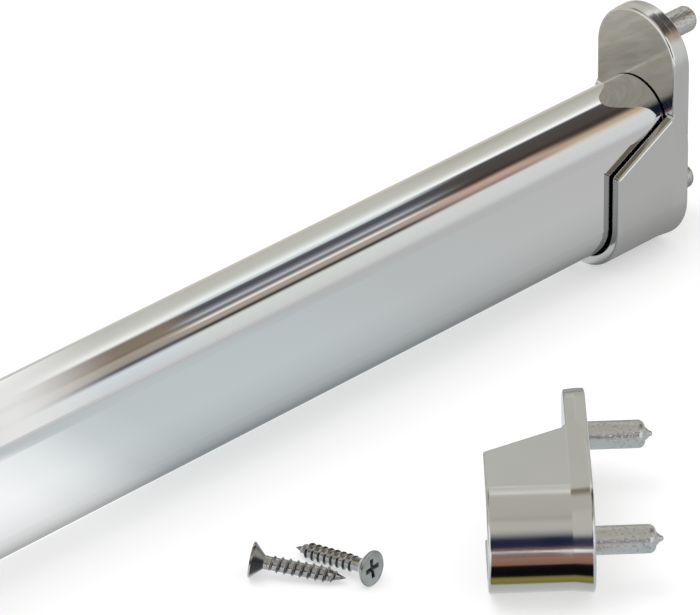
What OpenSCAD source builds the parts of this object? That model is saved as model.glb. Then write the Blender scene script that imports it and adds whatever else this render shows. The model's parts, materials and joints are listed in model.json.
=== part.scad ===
// Oval closet rod with its two cast end supports and their two screws.
// One support holds the rod's right end. The other lies on its side in front, with the screws beside it.
// Lengths are in millimetres. The origin is midway between the fitted support's two pins, on the face
// that goes against the cabinet's side. +X points into that side, the rod runs along -X and +Z is up.

/* [Rod] */
// Length of the oval tube
rod_l = 456; // [150:1:1150]
// Height of the oval tube
rod_h = 30; // [26:0.5:32]
// Width of the oval tube, across its flat sides
rod_w = 15; // [12:0.5:18]
// Wall of the tube
rod_wall = 1; // [0.6:0.1:1.5]

/* [Back plate] */
// Thickness of the back plate
plate_t = 3.7; // [3:0.1:5]
// Height of the plate's round top above the middle of the two pins
plate_top = 22.6; // [21:0.1:30]
// Draft of the plate's edge, from its face to the parting line and beside the cup to its back, in degrees
plate_draft = 6; // [2:0.5:8]
// Radius of the sweep that takes the parting line from the plate's middle to its back edge
sweep_r = 47; // [35:1:70]
// Height at which the sweep reaches the back edge, from the middle of the two pins
sweep_low = -7; // [-10:0.5:-4]

/* [Cup] */
// Depth of the cup in front of the plate
cup_depth = 13.8; // [9:0.1:20]
// Wall of the cup at its rim
cup_wall = 1.5; // [1:0.05:2]
// Floor of the cup at its rim
cup_floor = 1.9; // [1.2:0.1:3]
// Gap between the rod and the cup's wall at the rim
rim_gap = 0.5; // [0.3:0.05:1]
// Gap between the rod and the cup's wall beside the plate
seat_gap = 0.4; // [0.2:0.05:0.5]
// Gap between the rod's end and the plate
end_gap = 0.3; // [0.1:0.05:2]
// Depth of the rod's middle below the middle of the two pins
rod_drop = 5.6; // [3:0.1:8]
// Height of the cup's front corner above the rod's middle
front_rise = 3; // [-2:0.1:6]
// Height of the cup's wall at the plate, above the rod's middle
back_rise = 10.1; // [8:0.1:14]
// Fillet between the plate and the cup's sloped shoulder
shoulder_round = 0.8; // [0.3:0.1:1.5]
// Rounding of the cup's front corners, seen from the side
front_round = 0.6; // [0.3:0.1:1]

/* [Edges] */
// Rounding of the casting's outer edges
edge_round = 0.5; // [0.2:0.05:0.7]

/* [Pins] */
// Distance between the two pins
pin_spacing = 32; // [28:0.5:34]
// Diameter of a pin
pin_d = 4.8; // [4:0.1:6]
// Length of a pin
pin_l = 10; // [6:0.5:12]
// Rounding of a pin's end
pin_round = 1.2; // [0.3:0.1:1.5]
// Diameter of the casting nub at its foot, on a pin's end
nub_foot_d = 2.4; // [1.6:0.1:3]
// Diameter of the nub's round tip
nub_d = 1; // [0.6:0.1:1.4]
// Length of the casting nub
nub_l = 1.25; // [1:0.05:2]

/* [Screw hole] */
// Diameter of the screw hole through the plate
hole_d = 3.5; // [3.2:0.1:4.5]
// Diameter of its countersink at the plate's face
sink_d = 6.6; // [6.2:0.1:8]

/* [Screws] */
// Length of a screw
screw_l = 16; // [12:0.5:25]
// Diameter of a screw's thread
thread_d = 3; // [2.5:0.1:3.1]
// Diameter of a screw's head
head_d = 6.1; // [5:0.1:6.4]
// Height of the thin rim round the head
head_rim = 0.3; // [0.2:0.05:0.5]
// Length of a screw's point
tip_l = 3; // [2:0.1:5]
// Width of one arm of the cross recess
recess_w = 0.8; // [0.5:0.05:1.2]
// Span of the cross recess
recess_span = 3.4; // [2.5:0.1:4]
// Depth of the cross recess
recess_depth = 1.2; // [0.8:0.1:1.4]

/* [Places of the loose pieces] */
// Turn of the loose support's pins away from the rod's line, in degrees
loose_turn = 43; // [20:1:70]
// Place of the loose support along the rod
loose_x = -80.3; // [-100:0.1:-62]
// Place of the loose support across the rod
loose_y = -63.1; // [-90:0.1:-55]
// Place of the left screw's head along the rod
left_screw_x = -127.4; // [-140:0.1:-126]
// Place of the left screw's head across the rod
left_screw_y = -32.1; // [-34:0.1:-30]
// Direction of the left screw, in degrees
left_screw_turn = 305.5; // [301:0.5:309]
// Place of the right screw's head along the rod
right_screw_x = -115.2; // [-116:0.1:-112]
// Place of the right screw's head across the rod
right_screw_y = -48; // [-52:0.1:-47]
// Direction of the right screw, in degrees
right_screw_turn = 99; // [92:0.5:103]

/* [Hidden] */
$fn = 96;

// Overrun of every cut past the surface it opens
over = 1;
// Share of the plate's thickness that lies behind the parting line
parting_share = 0.5;
// Share of the head's diameter left for the shank's neck under the countersunk cone
neck_share = 0.4;

rod_r = rod_w / 2;
rod_c = -rod_drop;
rod_low_c = rod_c - (rod_h - rod_w) / 2;
rod_x = -plate_t - end_gap - rod_l;

rim_x = -plate_t - cup_depth;
parting_x = -plate_t * parting_share;
seat_r = rod_r + seat_gap;
mouth_r = rod_r + rim_gap;
rim_r = mouth_r + cup_wall;
parting_r = rim_r + (parting_x + plate_t) * tan(plate_draft);
back_r = rim_r + plate_t * tan(plate_draft);
shell_low_c = rod_low_c - (cup_floor - cup_wall);
plate_high_c = plate_top - parting_r;
front_z = rod_c + front_rise;
shoulder_z = rod_c + back_rise;
shoulder_angle = atan((shoulder_z - front_z) / cup_depth);
// Reach of the shoulder's fillet from the corner that it fills
fillet_reach = shoulder_round / tan((90 + shoulder_angle) / 2);
down_slope = [-cos(shoulder_angle), -sin(shoulder_angle)];
fillet_centre = [-plate_t - shoulder_round, shoulder_z + fillet_reach];

// Centres of the rounded edges of the back and of the rim, beside the cup
back_edge = round_centre(parting_x, parting_r, 0, back_r, edge_round);
rim_edge = round_centre(-plate_t, rim_r, rim_x, rim_r, edge_round);
// The floor is as low as the fitted support. The loose one rests on both edges of one side.
floor_z = shell_low_c - back_edge[0] - edge_round;
lie_angle = atan((back_edge[0] - rim_edge[0]) / (back_edge[1] - rim_edge[1]));

// A loose screw rests on its head's rim and on the last full turn of its thread.
head_h = head_rim + (head_d - head_d * neck_share) / 2;
screw_dip = atan((head_d - thread_d) / 2 / (screw_l - tip_l - head_rim));
screw_z = floor_z + head_rim * sin(screw_dip) + head_d / 2 * cos(screw_dip);

// Lean of a wall that runs from far_x with far_r to near_x with near_r
function lean_of(far_x, far_r, near_x, near_r) = atan((near_r - far_r) / abs(near_x - far_x));

// Centre, as [radius, x], of the rounded corner at the near end of such a wall
function round_centre(far_x, far_r, near_x, near_r, corner) =
  let (lean = lean_of(far_x, far_r, near_x, near_r))
  [near_r - corner * tan(lean) - corner / cos(lean), near_x - sign(near_x - far_x) * corner];

// Outline of half a wall against its distance along X, with a rounded corner at the near end.
// It is given as [radius, x]. It starts at far_x with far_r and ends at near_x with near_r.
module rounded_half(far_x, far_r, near_x, near_r, corner) {
  lean = lean_of(far_x, far_r, near_x, near_r);
  centre = round_centre(far_x, far_r, near_x, near_r, corner);
  touch = centre + corner * [cos(lean), -sign(near_x - far_x) * sin(lean)];
  polygon([[0, far_x], [far_r, far_x], touch, centre, [centre[0], near_x], [0, near_x]]);
  translate(centre) circle(corner, $fn = 32);
}

// A flat-sided oval body along X from a half outline, between two round ends at low_z and high_z.
module oval_body(low_z, high_z, low_end = true, high_end = true) {
  translate([0, 0, low_z])
    linear_extrude(high_z - low_z) {
      mirror([1, -1]) children();
      mirror([0, 1]) mirror([1, -1]) children();
    }
  if (low_end)
    translate([0, 0, low_z]) rotate([0, 90, 0]) rotate_extrude() children();
  if (high_end)
    translate([0, 0, high_z]) rotate([0, 90, 0]) rotate_extrude() children();
}

// Space above the cup's sloped shoulder, in front of the plate. A fillet joins the shoulder to the
// plate's face, and its front corner is rounded.
module above_shoulder() {
  corner_reach = front_round * tan((90 - shoulder_angle) / 2);
  on_slope = [-plate_t, shoulder_z] + fillet_reach * down_slope;
  before_corner = [rim_x, front_z] - corner_reach * down_slope;
  after_corner = [rim_x, front_z - corner_reach];
  past_x = rim_x - over;
  past_z = plate_top + over;
  rotate([90, 0, 0])
    linear_extrude(2 * (back_r + over), center = true)
      difference() {
        union() {
          polygon([
            on_slope, before_corner, after_corner, [past_x, after_corner[1]],
            [past_x, past_z], [-plate_t, past_z], [-plate_t, fillet_centre[1]], fillet_centre,
          ]);
          translate(fillet_centre) circle(shoulder_round, $fn = 32);
        }
        translate(after_corner + [front_round, 0]) circle(front_round, $fn = 32);
      }
}

// Space past the rounded outer edges of the sloped shoulder, up to the fillet
module shoulder_edges() {
  past = (cup_depth + over) / cos(shoulder_angle);
  for (side = [0, 1])
    mirror([0, side, 0])
      translate([-plate_t, rim_r - edge_round, shoulder_z])
        rotate([0, -shoulder_angle, 0])
          translate([-past, 0, -edge_round])
            rotate([90, 0, 90])
              linear_extrude(past - fillet_reach)
                difference() {
                  square(edge_round + over);
                  circle(edge_round, $fn = 32);
                }
}

// Space in front of and below the sweep that takes the parting line to the plate's back edge
module below_sweep() {
  width = 2 * (back_r + over);
  translate([-sweep_r, 0, sweep_low])
    rotate([90, 0, 0]) cylinder(h = width, r = sweep_r, center = true, $fn = 360);
  translate([-plate_t, -width / 2, floor_z - over])
    cube([plate_t + over, width, sweep_low - floor_z + over]);
}

// Open-topped pocket for the rod's end. It widens a little towards the rim.
module pocket() {
  widening = (mouth_r - seat_r) / cup_depth;
  past_r = mouth_r + over * widening;
  past_x = rim_x - over;
  translate([0, 0, rod_low_c])
    linear_extrude(plate_top - rod_low_c + over)
      polygon([[-plate_t, seat_r], [-plate_t, -seat_r], [past_x, -past_r], [past_x, past_r]]);
  translate([-plate_t, 0, rod_low_c])
    rotate([0, -90, 0])
      cylinder(h = cup_depth + over, r1 = seat_r, r2 = past_r);
}

// Countersunk screw hole through the plate, level with the middle of the two pins
module screw_hole() {
  translate([-plate_t - over, 0, 0])
    rotate([0, 90, 0]) {
      cylinder(h = plate_t + 2 * over, d = hole_d, $fn = 48);
      cylinder(h = over + (sink_d - hole_d) / 2, d1 = sink_d + 2 * over, d2 = hole_d, $fn = 48);
    }
}

// Cast pin along +X with a rounded end and the little nub that the casting leaves
module pin() {
  tip_x = pin_l + nub_l - nub_d / 2;
  rotate([0, 90, 0])
    rotate_extrude($fn = 48) {
      translate([0, -plate_t / 2]) square([pin_d / 2, plate_t / 2 + pin_l - pin_round]);
      square([pin_d / 2 - pin_round, pin_l]);
      translate([pin_d / 2 - pin_round, pin_l - pin_round]) circle(pin_round, $fn = 32);
      polygon([[0, pin_l - pin_round], [nub_foot_d / 2, pin_l - pin_round], [nub_foot_d / 2, pin_l],
               [nub_d / 2, tip_x], [0, tip_x]]);
      intersection() {
        translate([0, tip_x]) circle(nub_d / 2, $fn = 32);
        square([nub_d, tip_x + nub_d]);
      }
    }
}

// Body of the cup. Beside the plate it flares with the plate's draft, and below the sweep the flare
// goes on to the back edge.
module cup_body() {
  oval_body(shell_low_c, fillet_centre[1], high_end = false) {
    rounded_half(-plate_t, rim_r, rim_x, rim_r, edge_round);
    polygon([[0, parting_x], [parting_r, parting_x], [rim_r, -plate_t], [0, -plate_t]]);
  }
  intersection() {
    oval_body(shell_low_c, plate_high_c, high_end = false)
      rounded_half(parting_x, parting_r, 0, back_r, edge_round);
    below_sweep();
  }
}

// Back plate, widest from its middle to its back
module back_plate() {
  oval_body(shell_low_c, plate_high_c, low_end = false) {
    rounded_half(parting_x, parting_r, 0, parting_r, edge_round);
    rounded_half(parting_x, parting_r, -plate_t, rim_r, edge_round);
  }
}

// One end support as it is cast: plate, open-topped cup with sloped shoulders, and two pins
module end_support() {
  difference() {
    union() {
      back_plate();
      cup_body();
      for (side = [-1, 1]) translate([0, 0, side * pin_spacing / 2]) pin();
    }
    above_shoulder();
    shoulder_edges();
    pocket();
    screw_hole();
  }
}

// Countersunk screw along +X from its head, with a plain cylinder where the thread is
module screw() {
  difference() {
    rotate([0, 90, 0])
      rotate_extrude($fn = 48)
        polygon([
          [0, 0], [head_d / 2, 0], [head_d / 2, head_rim], [head_d / 2 * neck_share, head_h],
          [thread_d / 2, head_h + thread_d / 2 - head_d / 2 * neck_share],
          [thread_d / 2, screw_l - tip_l], [0, screw_l],
        ]);
    for (turn = [0, 90])
      rotate([turn, 0, 0])
        translate([(recess_depth - over) / 2, 0, 0])
          cube([recess_depth + over, recess_w, recess_span], center = true);
  }
}

// Lays a screw on the floor with its head at x, y and its point towards turn
module lay_screw(x, y, turn) {
  translate([x, y, screw_z])
    rotate([0, 0, turn])
      rotate([0, screw_dip, 0])
        screw();
}

// Oval tube, cut square at both ends
module oval_rod() {
  color("silver")
    translate([rod_x, 0, rod_c])
      rotate([90, 0, 90])
        linear_extrude(rod_l)
          difference() {
            oval(rod_w, rod_h);
            oval(rod_w - 2 * rod_wall, rod_h - 2 * rod_wall);
          }
}

// Flat-sided oval outline, upright
module oval(w, h) {
  square([w, h - w], center = true);
  for (side = [-1, 1]) translate([0, side * (h - w) / 2]) circle(d = w);
}

module end_support_fitted() {
  color("darkgray") end_support();
}

module end_support_loose() {
  color("darkgray")
    translate([loose_x, loose_y, floor_z + edge_round])
      rotate([0, 0, -loose_turn])
        rotate([-90, 0, 0])
          rotate([0, 0, -lie_angle])
            translate([-back_edge[1], -back_edge[0], 0])
              end_support();
}

module screw_left() {
  color("slategray") lay_screw(left_screw_x, left_screw_y, left_screw_turn);
}

module screw_right() {
  color("slategray") lay_screw(right_screw_x, right_screw_y, right_screw_turn);
}

oval_rod();
end_support_fitted();
end_support_loose();
screw_left();
screw_right();
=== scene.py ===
"""Looks of the oval closet rod: chrome tube, cast supports and loose screws on a pale floor."""
import json
import math

import bmesh
import bpy
import numpy as np
from mathutils import Matrix, Vector


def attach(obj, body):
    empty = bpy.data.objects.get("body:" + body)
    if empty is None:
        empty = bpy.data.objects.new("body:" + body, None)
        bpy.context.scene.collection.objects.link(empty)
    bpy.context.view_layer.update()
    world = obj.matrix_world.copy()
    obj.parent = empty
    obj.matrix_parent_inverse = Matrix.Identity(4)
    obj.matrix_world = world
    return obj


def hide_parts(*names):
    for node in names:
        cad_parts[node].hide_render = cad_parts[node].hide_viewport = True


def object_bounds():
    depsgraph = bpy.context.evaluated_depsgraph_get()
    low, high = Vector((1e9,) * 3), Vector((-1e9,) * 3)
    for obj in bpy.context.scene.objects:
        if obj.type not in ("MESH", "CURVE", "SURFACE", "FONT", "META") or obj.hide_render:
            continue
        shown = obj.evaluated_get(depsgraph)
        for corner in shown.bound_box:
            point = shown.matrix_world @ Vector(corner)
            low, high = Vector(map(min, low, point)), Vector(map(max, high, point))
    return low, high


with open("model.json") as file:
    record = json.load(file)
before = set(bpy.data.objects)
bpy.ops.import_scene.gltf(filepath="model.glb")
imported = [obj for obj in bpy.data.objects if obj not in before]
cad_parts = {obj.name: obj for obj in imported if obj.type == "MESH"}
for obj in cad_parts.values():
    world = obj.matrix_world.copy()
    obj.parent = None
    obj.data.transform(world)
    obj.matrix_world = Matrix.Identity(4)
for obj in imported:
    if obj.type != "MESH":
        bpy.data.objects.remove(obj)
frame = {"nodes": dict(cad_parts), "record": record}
nodes = frame["nodes"]
cad_low, cad_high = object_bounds()
mounts = {mount["name"]: mount for mount in frame["record"]["mounts"]}
MM = 0.001


# Camera

# The camera was fitted to the support's corners and the tube's edges in the 700 x 615 picture
PICTURE_W = 700
AZIMUTH = math.radians(43.50)
ELEVATION = math.radians(31.02)
ROLL = math.radians(-0.77)
FOCAL_PX = 6249.0
CAMERA_DISTANCE = 1109.5 * MM
PICTURE_RIGHT = 53.15 * MM
PICTURE_UP = 33.94 * MM
# The fit's origin lies this far below the frame's
FIT_DROP = 0.28 * MM
CLIP_END = 20.0


def make_camera():
    """Looks from the front left and from above, along a line fitted to the photograph."""
    look = Vector((math.sin(AZIMUTH) * math.cos(ELEVATION),
                   math.cos(AZIMUTH) * math.cos(ELEVATION),
                   -math.sin(ELEVATION)))
    level = Vector((math.cos(AZIMUTH), -math.sin(AZIMUTH), 0))
    upright = level.cross(look)
    right = math.cos(ROLL) * level + math.sin(ROLL) * upright
    up = math.cos(ROLL) * upright - math.sin(ROLL) * level
    place = -look * CAMERA_DISTANCE - right * PICTURE_RIGHT - up * PICTURE_UP
    place.z -= FIT_DROP
    data = bpy.data.cameras.new("camera")
    data.lens = FOCAL_PX / PICTURE_W * data.sensor_width
    data.clip_end = CLIP_END
    camera = bpy.data.objects.new("camera", data)
    turn = Matrix((right, up, -look)).transposed().to_4x4()
    camera.matrix_world = Matrix.Translation(place) @ turn
    bpy.context.collection.objects.link(camera)
    bpy.context.scene.camera = camera


# Node helpers

class Shader:
    """Short calls for building a material's or the world's nodes."""

    def __init__(self, owner):
        owner.use_nodes = True
        self.tree = owner.node_tree
        self.tree.nodes.clear()

    def add(self, kind, **values):
        node = self.tree.nodes.new(kind)
        for name, value in values.items():
            setattr(node, name, value)
        return node

    def link(self, source, target):
        self.tree.links.new(source, target)

    def feed(self, socket, value):
        """Links a socket, or sets a number, vector or colour on it."""
        if isinstance(value, bpy.types.NodeSocket):
            self.link(value, socket)
        else:
            socket.default_value = value

    def math(self, operation, *values):
        node = self.add("ShaderNodeMath", operation=operation)
        for socket, value in zip(node.inputs, values):
            self.feed(socket, value)
        return node.outputs[0]

    def product(self, first, *others):
        """Multiplies numbers."""
        for other in others:
            first = self.math("MULTIPLY", first, other)
        return first

    def vector(self, operation, first, second):
        node = self.add("ShaderNodeVectorMath", operation=operation)
        self.feed(node.inputs[0], first)
        self.feed(node.inputs[1], second)
        return node.outputs["Value" if operation == "DOT_PRODUCT" else "Vector"]

    def mix(self, factor, first, second):
        """Mixes two colours."""
        node = self.add("ShaderNodeMix", data_type="RGBA")
        self.feed(node.inputs["Factor"], factor)
        self.feed(node.inputs[6], first)
        self.feed(node.inputs[7], second)
        return node.outputs[2]

    def between(self, value, low, high, first=0.0, second=1.0, kind="SMOOTHSTEP"):
        """Maps a number from low..high to first..second, smoothly unless a kind says otherwise."""
        node = self.add("ShaderNodeMapRange", interpolation_type=kind)
        for name, number in (("Value", value), ("From Min", low), ("From Max", high),
                             ("To Min", first), ("To Max", second)):
            self.feed(node.inputs[name], number)
        return node.outputs["Result"]

    def noise(self, place, scale, detail=2.0, stretch=(1, 1, 1)):
        mapping = self.add("ShaderNodeMapping")
        self.feed(mapping.inputs["Vector"], place)
        mapping.inputs["Scale"].default_value = stretch
        node = self.add("ShaderNodeTexNoise")
        self.link(mapping.outputs["Vector"], node.inputs["Vector"])
        node.inputs["Scale"].default_value = scale
        node.inputs["Detail"].default_value = detail
        return node.outputs["Fac"]

    def ramp(self, value, stops):
        """A colour ramp with stops of (position, (red, green, blue))."""
        node = self.add("ShaderNodeValToRGB")
        elements = node.color_ramp.elements
        while len(elements) < len(stops):
            elements.new(0.5)
        for element, (position, colour) in zip(elements, stops):
            element.position = position
            element.color = (*colour, 1)
        self.feed(node.inputs["Fac"], value)
        return node.outputs["Color"]

    def bump(self, height, strength, distance, base=None):
        """The surface's direction with a height added, over a base direction if one is given."""
        node = self.add("ShaderNodeBump")
        node.inputs["Strength"].default_value = strength
        node.inputs["Distance"].default_value = distance
        self.link(height, node.inputs["Height"])
        if base is not None:
            self.link(base, node.inputs["Normal"])
        return node.outputs["Normal"]

    def metal(self, colour, roughness, normal):
        """Ends a material as bare metal."""
        node = self.add("ShaderNodeBsdfPrincipled")
        self.feed(node.inputs["Base Color"], colour)
        node.inputs["Metallic"].default_value = 1.0
        self.feed(node.inputs["Roughness"], roughness)
        self.link(normal, node.inputs["Normal"])
        output = self.add("ShaderNodeOutputMaterial")
        self.link(node.outputs[0], output.inputs["Surface"])


# Materials

# Share of light that bright chrome mirrors
CHROME = 0.58
# Plain casting, the darkest and palest marks of the brushed plate face, and the pins' pits
CASTING_TONE = (0.48, 0.48, 0.475, 1)
FACE_DARK = (0.438, 0.422, 0.398, 1)
FACE_PALE = (0.502, 0.487, 0.462, 1)
PIT_TONE = (0.33, 0.325, 0.32, 1)
# Heights of the casting's marks, as shares of its bump
GRAIN_HEIGHT = 5.0
PIT_HEIGHT = -5.0
BRUSH_HEIGHT = 0.35
CLOUD_HEIGHT = 0.2
# Rise of the plate face's brush marks for each millimetre across it
BRUSH_SLANT = 0.62
# Dull nickel, and the painted shade of its recesses and of the thread's faces
NICKEL_DARK = (0.17, 0.166, 0.163, 1)
NICKEL_PALE = (0.44, 0.43, 0.42, 1)
PAINTED_HOLLOW_SHADE = (0.012, 0.012, 0.012, 1)
PAINTED_FLANK_SHADE = (0.03, 0.03, 0.03, 1)


def tube_chrome():
    """Bright chrome over drawn steel: faint marks along the tube and a few specks of dust."""
    material = bpy.data.materials.new("tube_chrome")
    shader = Shader(material)
    place = shader.add("ShaderNodeTexCoord").outputs["Object"]
    marks = shader.noise(place, 1, 3, (18, 1400, 1400))
    waves = shader.noise(place, 1, 1, (14, 60, 60))
    specks = shader.between(shader.noise(place, 900, 1), 0.78, 0.84)
    roughness = shader.math("ADD", shader.between(marks, 0.3, 0.8, 0.012, 0.04),
                            shader.product(specks, 0.25))
    height = shader.math("ADD", shader.product(marks, 0.15), waves)
    normal = shader.bump(height, 0.12, 0.02 * MM)
    shader.metal((CHROME, CHROME, CHROME, 1), roughness, normal)
    return material


def support_frame(prefix):
    """A support's origin and its axes along the tube, across it and up, from its mounts."""
    if prefix:
        upper = Vector(mounts[prefix + "_upper_pin"]["pos_m"])
        lower = Vector(mounts[prefix + "_lower_pin"]["pos_m"])
        back = Vector(mounts[prefix + "_back_face"]["pos_m"])
        along = Vector(mounts[prefix + "_upper_pin"]["axis"]).normalized()
        middle = (upper + lower) / 2
        origin = middle - along * (middle - back).dot(along)
        up = (upper - lower).normalized()
    else:
        origin = Vector(mounts["panel_studs"]["pos_m"])
        along = Vector((1, 0, 0))
        up = Vector((0, 0, 1))
    return origin, along, up.cross(along), up


def casting_chrome(name, prefix):
    """Satin chrome over a zinc casting: polished outside, brushed plate face, grainy pins."""
    material = bpy.data.materials.new(name)
    shader = Shader(material)
    origin, along, across, up = support_frame(prefix)
    place = shader.add("ShaderNodeTexCoord").outputs["Object"]
    offset = shader.vector("SUBTRACT", place, tuple(origin))
    slanted = shader.add("ShaderNodeCombineXYZ")
    axes = (along, across - BRUSH_SLANT * up, up + BRUSH_SLANT * across)
    for socket, axis in zip(slanted.inputs, axes):
        shader.link(shader.vector("DOT_PRODUCT", offset, tuple(axis)), socket)
    local = slanted.outputs[0]
    depth = shader.vector("DOT_PRODUCT", offset, tuple(along))
    normal = shader.add("ShaderNodeNewGeometry").outputs["Normal"]
    facing = shader.vector("DOT_PRODUCT", normal, tuple(along))

    pins = shader.between(depth, 0.1 * MM, 0.3 * MM)
    plate_face = shader.product(shader.between(facing, -0.9, -0.98),
                                shader.between(depth, -6 * MM, -4.5 * MM))
    grain = shader.noise(local, 1300, 4)
    pits = shader.between(shader.noise(local, 2100, 1), 0.58, 0.70)
    brushed = shader.noise(local, 1, 3, (400, 170, 1500))
    streaks = shader.noise(local, 1, 4, (60, 110, 620))
    cloudy = shader.noise(local, 90, 2)

    roughness = shader.between(cloudy, 0.3, 0.7, 0.10, 0.17)
    roughness = shader.math("ADD", roughness, shader.product(plate_face, 0.03))
    roughness = shader.math("ADD", roughness, shader.product(pins, 0.22))
    rough = shader.product(pins, shader.between(depth, 1 * MM, 7 * MM, 0.5, 1.0))
    height = shader.math("ADD", shader.product(grain, rough, GRAIN_HEIGHT),
                         shader.product(brushed, plate_face, BRUSH_HEIGHT))
    height = shader.math("ADD", height, shader.product(pits, rough, PIT_HEIGHT))
    height = shader.math("ADD", height, shader.product(cloudy, CLOUD_HEIGHT))
    edges = shader.add("ShaderNodeBevel", samples=6)
    edges.inputs["Radius"].default_value = 0.25 * MM
    face = shader.mix(shader.between(streaks, 0.35, 0.65), FACE_DARK, FACE_PALE)
    colour = shader.mix(plate_face, CASTING_TONE, face)
    colour = shader.mix(shader.product(pits, rough), colour, PIT_TONE)
    shader.metal(colour, roughness, shader.bump(height, 0.3, 0.08 * MM, edges.outputs[0]))
    return material


def screw_nickel(name, axis):
    """Dull nickel, with painted shade in the recess and between the thread's turns, and on the
    cone and the level faces of the thread.
    """
    material = bpy.data.materials.new(name)
    shader = Shader(material)
    place = shader.add("ShaderNodeTexCoord").outputs["Object"]
    grain = shader.noise(place, 2500, 3)
    cloudy = shader.noise(place, 350, 2)
    nickel = shader.mix(cloudy, NICKEL_DARK, NICKEL_PALE)
    # Painted shade: ambient occlusion darkens the colour in the recess and between the thread's
    # turns.
    hollow_shade = shader.add("ShaderNodeAmbientOcclusion", samples=8, only_local=True)
    hollow_shade.inputs["Distance"].default_value = 1.5 * MM
    colour = shader.mix(shader.between(hollow_shade.outputs["AO"], 0.50, 0.95), PAINTED_HOLLOW_SHADE, nickel)
    normal = shader.add("ShaderNodeNewGeometry").outputs["Normal"]
    # Painted shade: the cone and the thread's faces that turn toward the head or the point get a
    # near-black colour, fully where their normal lies level.
    facing = shader.vector("DOT_PRODUCT", normal, tuple(axis))
    shade_toward_head = shader.product(shader.between(facing, -0.2, -0.6),
                                 shader.between(facing, -0.97, -0.85))
    flank_shade = shader.math("ADD", shader.between(facing, 0.15, 0.6), shade_toward_head)
    rise = shader.vector("DOT_PRODUCT", normal, (0, 0, 1))
    level = shader.product(shader.between(rise, 0.55, 0.35), shader.between(rise, -0.5, -0.25))
    flank_shade = shader.product(flank_shade, shader.between(level, 0.0, 1.0, 0.35, 1.0))
    colour = shader.mix(flank_shade, colour, PAINTED_FLANK_SHADE)
    roughness = shader.between(grain, 0.3, 0.7, 0.10, 0.22)
    shader.metal(colour, roughness, shader.bump(grain, 0.25, 0.03 * MM))
    return material


def dress(node, material):
    """Puts one material on all of a piece's slots."""
    data = node.data
    if not data.materials:
        data.materials.append(material)
    for slot in node.material_slots:
        slot.material = material


# Screws

SCREW_LENGTH = 16 * MM
HEAD_R = 3.05 * MM
HEAD_TOP_R = HEAD_R - 0.05 * MM
HEAD_RIM = 0.3 * MM
RIM_EDGE = 0.04 * MM
NECK_R = 1.2 * MM
HEAD_END = HEAD_RIM + (HEAD_R - NECK_R)
CORE_R = 1.15 * MM
CREST_R = 1.5 * MM
TIP_LENGTH = 3 * MM
BARE_TIP = 0.3 * MM
THREAD_START = 2.7 * MM
PITCH = 1.3 * MM
# The ridge's half width as a share of the pitch, how sharp its crest is, and how fast it rises
RIDGE_HALF = 0.24
RIDGE_POWER = 1.3
RIDGE_RISE = 1.15
RECESS_ARM = 0.85 * MM
RECESS_SPAN = 3.4 * MM
RECESS_DEPTH = 1.6 * MM
# Shares of the span and of the arm that are left at the recess's bottom
RECESS_TAPER = 0.45
ARM_TAPER = 0.7
# How far the recess's cutter stands above the head
CUTTER_ABOVE = 0.5 * MM
ROUND_STEPS = 64
CONE_STEPS = 6
THREAD_ROWS = 260


def screw_axis(node):
    """The head's centre and the direction to the point, from the node's own vertices."""
    points = np.array([tuple(v.co) for v in node.data.vertices])
    centred = points - points.mean(axis=0)
    direction = np.linalg.svd(centred, full_matrices=False)[2][0]
    along = centred @ direction
    spread = np.linalg.norm(centred - np.outer(along, direction), axis=1)
    if along[np.argmax(spread)] > 0:
        direction = -direction
        along = -along
    head = points.mean(axis=0) + direction * along.min()
    return Vector(head), Vector(direction)


def screw_radius(depth, turn):
    """Radius at a depth under the head's top and at a share of a turn round the axis."""
    if depth == 0:
        return HEAD_TOP_R
    if depth <= HEAD_RIM:
        return HEAD_R
    if depth <= HEAD_END:
        return HEAD_R - (depth - HEAD_RIM)
    if depth <= THREAD_START:
        return NECK_R
    to_tip = SCREW_LENGTH - depth
    core = CORE_R * min(1.0, max(to_tip, 0.0) / TIP_LENGTH)
    phase = ((depth - THREAD_START) / PITCH - turn) % 1.0
    ridge = max(0.0, 1 - abs(phase - 0.5) / RIDGE_HALF) ** RIDGE_POWER
    fade_in = min(1.0, (depth - THREAD_START) / PITCH)
    fade_out = min(1.0, max(to_tip - BARE_TIP, 0.0) / TIP_LENGTH * RIDGE_RISE)
    return core + (CREST_R - CORE_R) * ridge * fade_in * fade_out


def screw_rows():
    """Depths of the rings, closest where the thread is."""
    rows = [0.0, RIM_EDGE, HEAD_RIM - RIM_EDGE, HEAD_RIM + 0.03 * MM]
    rows += [HEAD_RIM + (HEAD_END - HEAD_RIM) * step / CONE_STEPS
             for step in range(1, CONE_STEPS + 1)]
    rows += [HEAD_END + 0.1 * MM]
    rows += list(np.linspace(THREAD_START, SCREW_LENGTH - 0.05 * MM, THREAD_ROWS))
    return rows


def bridge(mesh, rings):
    """Joins each ring of vertices to the next with faces."""
    for first, second in zip(rings, rings[1:]):
        for step in range(len(first)):
            other = (step + 1) % len(first)
            mesh.faces.new((first[step], second[step], second[other], first[other]))


def as_object(mesh, name):
    """Turns a finished mesh into an object of the scene."""
    bmesh.ops.recalc_face_normals(mesh, faces=mesh.faces)
    data = bpy.data.meshes.new(name)
    mesh.to_mesh(data)
    mesh.free()
    piece = bpy.data.objects.new(name, data)
    bpy.context.collection.objects.link(piece)
    return piece


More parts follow.
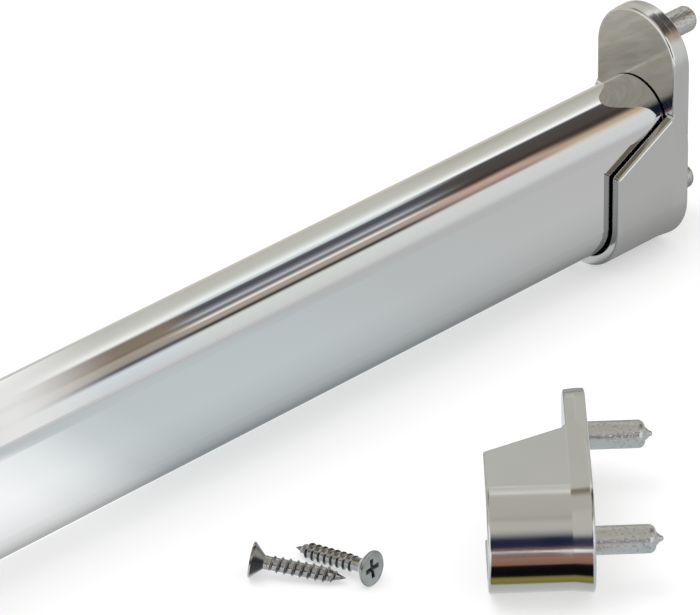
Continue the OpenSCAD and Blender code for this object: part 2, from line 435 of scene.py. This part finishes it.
def make_screw(name, node):
    """A countersunk wood screw with a helical thread and a cross recess, in the node's place."""
    head, direction = screw_axis(node)
    mesh = bmesh.new()
    rings = []
    for depth in screw_rows():
        ring = []
        for step in range(ROUND_STEPS):
            share = step / ROUND_STEPS
            radius = screw_radius(depth, share)
            angle = share * 2 * math.pi
            place = (radius * math.cos(angle), radius * math.sin(angle), depth)
            ring.append(mesh.verts.new(place))
        rings.append(ring)
    bridge(mesh, rings)
    tip = mesh.verts.new((0, 0, SCREW_LENGTH))
    for step in range(ROUND_STEPS):
        mesh.faces.new((rings[-1][step], tip, rings[-1][(step + 1) % ROUND_STEPS]))
    mesh.faces.new(rings[0])
    screw = as_object(mesh, name)
    cut_recess(screw)
    side = direction.cross(Vector((0, 0, 1))).normalized()
    up = side.cross(direction)
    turn = Matrix((side, up, direction)).transposed().to_4x4()
    screw.data.transform(Matrix.Translation(head) @ turn)
    for polygon in screw.data.polygons:
        polygon.use_smooth = True
    screw.data.set_sharp_from_angle(angle=math.radians(40))
    return screw


def cut_recess(screw):
    """Cuts a tapered cross into the head's top."""
    mesh = bmesh.new()
    rings = []
    for depth, share in ((-CUTTER_ABOVE, 1.0), (0, 1.0), (RECESS_DEPTH, RECESS_TAPER)):
        arm = RECESS_ARM / 2 * max(share, ARM_TAPER)
        reach = RECESS_SPAN / 2 * share
        corners = [(arm, reach), (-arm, reach), (-arm, arm)]
        ring = []
        for quarter in range(4):
            turn = Matrix.Rotation(quarter * math.pi / 2, 2)
            ring += [mesh.verts.new((*(turn @ Vector(corner)), depth)) for corner in corners]
        rings.append(ring)
    bridge(mesh, rings)
    mesh.faces.new(rings[0])
    mesh.faces.new(reversed(rings[-1]))
    cutter = as_object(mesh, "recess")
    modifier = screw.modifiers.new("recess", "BOOLEAN")
    modifier.object = cutter
    modifier.solver = "EXACT"
    graph = bpy.context.evaluated_depsgraph_get()
    data = bpy.data.meshes.new_from_object(screw.evaluated_get(graph))
    screw.modifiers.clear()
    screw.data = data
    bpy.data.objects.remove(cutter)


# Stage

FLOOR_HALF = 6.0
FLOOR_TONE = (0.8, 0.8, 0.8, 1)
# The floor's own light, for the camera alone, which lifts it to white
FLOOR_GLOW = 0.42
# The mirrored floor's grey and tint are both written below 1, and their product is raised by this
FLOOR_GAIN = 2.0
# The strips by the loose support start this far from the middle of its pins
STRIPS_START = 13.5 * MM
LAMP_SIZE = 1.2
LAMP_POWER = 5
LAMP_PLACE = (-0.5, 0.3, 1.5)


def make_floor():
    """A pale floor. The camera sees it white with shadows, and metal mirrors painted shadow and
    painted reflections on it.
    """
    data = bpy.data.meshes.new("floor")
    corners = [(side * FLOOR_HALF, end * FLOOR_HALF, 0)
               for side, end in ((-1, -1), (1, -1), (1, 1), (-1, 1))]
    data.from_pydata(corners, [], [(0, 1, 2, 3)])
    floor = bpy.data.objects.new("floor", data)
    floor.location.z = cad_low[2]
    bpy.context.collection.objects.link(floor)
    material = bpy.data.materials.new("floor")
    shader = Shader(material)
    rays = shader.add("ShaderNodeLightPath")
    diffuse = shader.add("ShaderNodeBsdfDiffuse")
    diffuse.inputs["Color"].default_value = FLOOR_TONE
    glow = shader.add("ShaderNodeEmission")
    clear = shader.math("ADD", rays.outputs["Is Camera Ray"], rays.outputs["Is Transmission Ray"])
    shader.link(shader.product(clear, FLOOR_GLOW), glow.inputs["Strength"])
    lit = shader.add("ShaderNodeAddShader")
    shader.link(diffuse.outputs[0], lit.inputs[0])
    shader.link(glow.outputs[0], lit.inputs[1])
    mirrored = shader.add("ShaderNodeEmission")
    shader.link(floor_painted_shade_and_reflection(shader), mirrored.inputs["Color"])
    both = shader.add("ShaderNodeMixShader")
    shader.link(rays.outputs["Is Glossy Ray"], both.inputs["Fac"])
    shader.link(lit.outputs[0], both.inputs[1])
    shader.link(mirrored.outputs[0], both.inputs[2])
    output = shader.add("ShaderNodeOutputMaterial")
    shader.link(both.outputs[0], output.inputs["Surface"])
    data.materials.append(material)


def floor_painted_shade_and_reflection(shader):
    """The floor as metal mirrors it: painted shadow under the tube, painted reflection stripes
    behind it, pale to the left.
    """
    place = shader.add("ShaderNodeSeparateXYZ")
    shader.link(shader.add("ShaderNodeTexCoord").outputs["Object"], place.inputs[0])
    # Painted shadow and painted reflection: the grey darkens just under the tube's near side, and
    # the stripes and the tint are painted reflections.
    across = shader.between(place.outputs["Y"], -60 * MM, 20 * MM, kind="LINEAR")
    grey = shader.ramp(across, [
        (0.0, (0.80, 0.80, 0.80)), (0.33, (0.83, 0.83, 0.83)), (0.40, (0.84, 0.84, 0.84)),
        (0.45, (0.79, 0.79, 0.79)), (0.50, (0.70, 0.70, 0.70)), (0.58, (0.62, 0.62, 0.61)),
        (0.64, (0.49, 0.49, 0.49)), (0.69, (0.32, 0.32, 0.32)), (0.72, (0.34, 0.34, 0.34)),
        (0.74, (1.0, 1.0, 1.0)), (0.77, (0.95, 0.95, 0.95)), (0.80, (0.45, 0.45, 0.45)),
        (0.87, (0.55, 0.545, 0.52)), (1.0, (0.70, 0.69, 0.65)),
    ])
    behind = shader.between(place.outputs["Y"], 30 * MM, 60 * MM, kind="LINEAR")
    stripes = shader.ramp(behind, [
        (0.0, (0.70, 0.69, 0.65)), (0.10, (0.40, 0.37, 0.35)), (0.18, (0.61, 0.58, 0.54)),
        (0.23, (1.0, 0.99, 0.93)), (0.27, (1.0, 0.97, 0.90)), (0.33, (0.87, 0.83, 0.77)),
        (0.40, (0.61, 0.57, 0.51)), (0.50, (0.43, 0.40, 0.36)), (0.60, (0.46, 0.43, 0.39)),
        (0.73, (0.66, 0.61, 0.54)), (0.87, (0.80, 0.74, 0.66)), (1.0, (0.80, 0.75, 0.68)),
    ])
    shown = shader.product(shader.between(behind, 0.0, 0.05),
                           shader.between(place.outputs["X"], -100 * MM, -70 * MM))
    grey = shader.mix(shown, grey, stripes)
    far = shader.between(place.outputs["Y"], -60 * MM, -350 * MM)
    grey = shader.mix(far, grey, (1, 1, 1, 1))
    along = shader.between(place.outputs["X"], -140 * MM, 0, kind="LINEAR")
    tint = shader.ramp(along, [
        (0.0, (0.92, 0.93, 0.94)), (0.08, (0.80, 0.83, 0.84)), (0.16, (0.585, 0.63, 0.645)),
        (0.23, (0.52, 0.57, 0.585)), (0.52, (0.505, 0.547, 0.557)), (0.70, (0.482, 0.50, 0.508)),
        (1.0, (0.475, 0.48, 0.475)),
    ])
    tinted = shader.add("ShaderNodeMix", data_type="RGBA", blend_type="MULTIPLY")
    tinted.inputs["Factor"].default_value = 1.0
    shader.link(grey, tinted.inputs[6])
    shader.link(tint, tinted.inputs[7])
    raised = shader.add("ShaderNodeVectorMath", operation="SCALE")
    shader.link(tinted.outputs[2], raised.inputs[0])
    raised.inputs["Scale"].default_value = FLOOR_GAIN
    return painted_reflection_strips(shader, raised.outputs[0])


def painted_reflection_strips(shader, tone):
    """Adds painted reflection strips of gold, black and brown beside the loose support, for its
    round end to mirror.

    The first ones are seen only by metal close to them, so the tube doesn't mirror them.
    """
    origin, along, _, up = support_frame("loose")
    place = shader.add("ShaderNodeTexCoord").outputs["Object"]
    offset = shader.vector("SUBTRACT", place, (*origin.xy, 0))
    out = shader.math("SUBTRACT", shader.vector("DOT_PRODUCT", offset, tuple(-up)), STRIPS_START)
    side = shader.vector("DOT_PRODUCT", offset, tuple(along))
    share = shader.between(out, 0, 60 * MM, kind="LINEAR")
    strips = shader.ramp(share, [
        (0.0, (0.80, 0.80, 0.79)), (0.155, (0.80, 0.80, 0.79)), (0.165, (0.30, 0.25, 0.07)),
        (0.20, (0.44, 0.37, 0.10)), (0.22, (0.34, 0.28, 0.08)), (0.235, (0.006, 0.006, 0.006)),
        (0.43, (0.010, 0.009, 0.010)), (0.46, (0.44, 0.24, 0.18)), (0.9, (0.56, 0.31, 0.24)),
        (1.0, (0.40, 0.24, 0.21)),
    ])
    reach = shader.add("ShaderNodeLightPath").outputs["Ray Length"]
    shown = shader.math("MAXIMUM", shader.between(reach, 68 * MM, 60 * MM),
                        shader.between(out, 45 * MM, 55 * MM))
    inside = shader.product(
        shader.between(side, -22 * MM, -20 * MM), shader.between(side, 0.6 * MM, 0.0),
        shader.between(out, -1 * MM, 1 * MM), shader.between(out, 600 * MM, 400 * MM), shown)
    return shader.mix(inside, tone, strips)


def seen(red, green, blue):
    """A tone of the studio as bright chrome shows it on the screen, 0 to 255, as linear light."""
    parts = [number / 255 for number in (red, green, blue)]
    return tuple(p / 12.92 if p <= 0.04045 else ((p + 0.055) / 1.055) ** 2.4 for p in parts)


def turn_ramp(shader, share, tones):
    """A ramp over degrees round the tube's axis, from the camera's side over the top."""
    stops = [((degrees + 180) / 360, seen(*tone)) for degrees, tone in tones]
    return shader.ramp(share, stops)


# What bright chrome mirrors, from the picture's left edge to its right
FADE_TONES = [(-180, (228, 228, 227)), (180, (228, 228, 227))]
LEFT_TONES = [
    (-180, (190, 190, 186)), (0, (197, 203, 205)), (30, (206, 214, 217)), (34, (166, 171, 177)),
    (38, (90, 91, 95)), (42, (92, 88, 89)), (46, (146, 139, 137)), (50, (154, 146, 138)),
    (62, (161, 152, 138)), (68, (126, 112, 98)), (78, (130, 117, 104)), (96, (127, 114, 104)),
    (99, (150, 140, 130)), (102, (206, 204, 202)), (106, (238, 241, 238)), (114, (224, 228, 224)),
    (118, (216, 216, 210)), (124, (204, 205, 199)), (132, (194, 195, 189)), (150, (186, 187, 180)),
    (180, (174, 175, 169)),
]
MIDDLE_TONES = [
    (-180, (178, 178, 172)), (0, (199, 204, 203)), (30, (209, 213, 209)), (34, (174, 177, 174)),
    (37, (56, 56, 54)), (41, (74, 69, 67)), (45, (156, 146, 141)), (50, (168, 156, 145)),
    (54, (164, 152, 140)), (57, (232, 224, 217)), (59, (230, 220, 214)), (62, (165, 161, 162)),
    (65.5, (98, 98, 102)), (70, (125, 130, 137)), (74, (184, 188, 194)), (78, (136, 141, 147)),
    (82, (106, 108, 113)), (88, (76, 78, 84)), (93, (80, 82, 88)), (97, (92, 96, 102)),
    (101, (190, 196, 200)), (105, (212, 217, 218)), (110, (234, 239, 238)), (114, (231, 233, 230)),
    (118, (221, 222, 216)), (122, (209, 211, 206)), (130, (194, 194, 189)), (140, (184, 184, 178)),
    (150, (183, 183, 176)), (180, (170, 170, 163)),
]
RIGHT_TONES = [
    (-180, (166, 164, 156)), (0, (200, 203, 204)), (31, (207, 208, 205)), (34, (203, 198, 197)),
    (38, (150, 134, 128)), (42, (150, 126, 119)), (46, (176, 152, 140)), (54, (190, 162, 148)),
    (58, (160, 134, 120)), (62, (96, 78, 72)), (66, (62, 53, 47)), (74, (72, 67, 60)),
    (90, (75, 70, 68)), (103, (76, 76, 76)), (106, (170, 170, 170)), (109, (252, 252, 250)),
    (114, (234, 235, 231)), (118, (218, 219, 213)), (122, (204, 205, 197)), (130, (190, 189, 180)),
    (150, (176, 175, 168)), (180, (158, 157, 145)),
]
# Next to the fitted support the same, but with a wider band that is tan instead of pink
END_TONES = RIGHT_TONES[:2] + [
    (29, (207, 208, 205)), (32, (206, 201, 194)), (37, (200, 187, 172)), (42, (184, 165, 143)),
    (47, (178, 157, 134)), (51, (150, 132, 114)), (55, (105, 91, 80)), (60, (66, 57, 51)),
] + RIGHT_TONES[10:]
# What the sloped shoulder and the rounded edges mirror, to either side of the tube's line
ACROSS_TONES = [
    (-180, (200, 198, 190)), (-30, (206, 205, 200)), (-12, (255, 255, 255)), (44, (255, 255, 255)),
    (50, (128, 119, 102)), (64, (128, 119, 102)), (74, (180, 177, 168)), (110, (184, 182, 172)),
    (117, (128, 119, 102)), (137, (120, 111, 94)), (146, (200, 196, 184)), (180, (205, 202, 192)),
]
# What the surfaces that face the picture's lower left mirror
BACK_TONES = [
    (-180, (184, 181, 170)), (-20, (140, 106, 92)), (4, (122, 94, 86)), (12, (32, 34, 62)),
    (32, (28, 32, 60)), (42, (150, 150, 150)), (50, (188, 186, 177)), (120, (196, 194, 186)),
    (180, (190, 187, 176)),
]
# Where, along the tube, each set of tones takes the place of the one before it
TONE_PLACES = [
    (RIGHT_TONES, 0.615, 0.627), (MIDDLE_TONES, 0.598, 0.612), (LEFT_TONES, 0.566, 0.573),
    (FADE_TONES, 0.543, 0.561),
]
PALE_TONE = (244, 244, 242)
# The white studio's strength for the light that falls on the floor and the pieces
SOFT_LIGHT = 0.72


def make_world():
    """A white studio. Metal mirrors dark, tan and white strips in it that run along the tube."""
    world = bpy.data.worlds.new("studio")
    bpy.context.scene.world = world
    shader = Shader(world)
    rays = shader.add("ShaderNodeLightPath")
    way = shader.add("ShaderNodeSeparateXYZ")
    shader.link(shader.add("ShaderNodeTexCoord").outputs["Generated"], way.inputs[0])
    front = shader.math("MULTIPLY", way.outputs["Y"], -1.0)
    angle = shader.math("ARCTAN2", way.outputs["Z"], front)
    share = shader.math("ADD", shader.math("DIVIDE", angle, 2 * math.pi), 0.5)
    along = way.outputs["X"]
    start = shader.between(along, 0.530, 0.543)
    bands = turn_ramp(shader, share, END_TONES)
    for tones, low, high in TONE_PLACES:
        weight = shader.product(start, shader.between(along, low, high, 1.0, 0.0))
        bands = shader.mix(weight, bands, turn_ramp(shader, share, tones))
    sideways = turn_ramp(shader, share, ACROSS_TONES)
    bands = shader.mix(shader.between(along, 0.40, 0.30), bands, sideways)
    backward = turn_ramp(shader, share, BACK_TONES)
    bands = shader.mix(shader.between(along, -0.25, -0.36), bands, backward)
    pale = shader.product(shader.between(along, -0.735, -0.75), shader.between(share, 0.61, 0.64))
    pale = shader.math("MAXIMUM", pale, shader.between(along, -0.84, -0.87))
    bands = shader.mix(pale, bands, (*seen(*PALE_TONE), 1))
    glossy = shader.add("ShaderNodeBackground")
    shader.link(bands, glossy.inputs["Color"])
    glossy.inputs["Strength"].default_value = 1 / CHROME
    plain = shader.add("ShaderNodeBackground")
    plain.inputs["Color"].default_value = (1, 1, 1, 1)
    strength = shader.between(rays.outputs["Is Camera Ray"], 0.0, 1.0, SOFT_LIGHT, 1.0)
    shader.link(strength, plain.inputs["Strength"])
    both = shader.add("ShaderNodeMixShader")
    shader.link(rays.outputs["Is Glossy Ray"], both.inputs["Fac"])
    shader.link(plain.outputs[0], both.inputs[1])
    shader.link(glossy.outputs[0], both.inputs[2])
    output = shader.add("ShaderNodeOutputWorld")
    shader.link(both.outputs[0], output.inputs["Surface"])


def make_lamp():
    """One large soft lamp overhead, for the shadows."""
    data = bpy.data.lights.new("softbox", "AREA")
    data.shape = "DISK"
    data.size = LAMP_SIZE
    data.energy = LAMP_POWER
    lamp = bpy.data.objects.new("softbox", data)
    lamp.location = LAMP_PLACE
    lamp.rotation_euler = (-lamp.location).to_track_quat("-Z", "Y").to_euler()
    lamp.visible_glossy = False
    bpy.context.collection.objects.link(lamp)


make_camera()
make_world()
make_lamp()
make_floor()

dress(nodes["oval_rod"], tube_chrome())
dress(nodes["end_support_fitted"], casting_chrome("casting_fitted", ""))
dress(nodes["end_support_loose"], casting_chrome("casting_loose", "loose"))
for name in ("screw_left", "screw_right"):
    screw = make_screw(name + "_threaded", nodes[name])
    dress(screw, screw_nickel(name + "_nickel", screw_axis(nodes[name])[1]))
    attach(screw, "fittings")
    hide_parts(name)
    # The photograph shows the tube and the loose pieces apart, so the tube doesn't mirror them.
    screw.visible_glossy = False
nodes["end_support_loose"].visible_glossy = False

bpy.context.scene.view_settings.view_transform = "Standard"
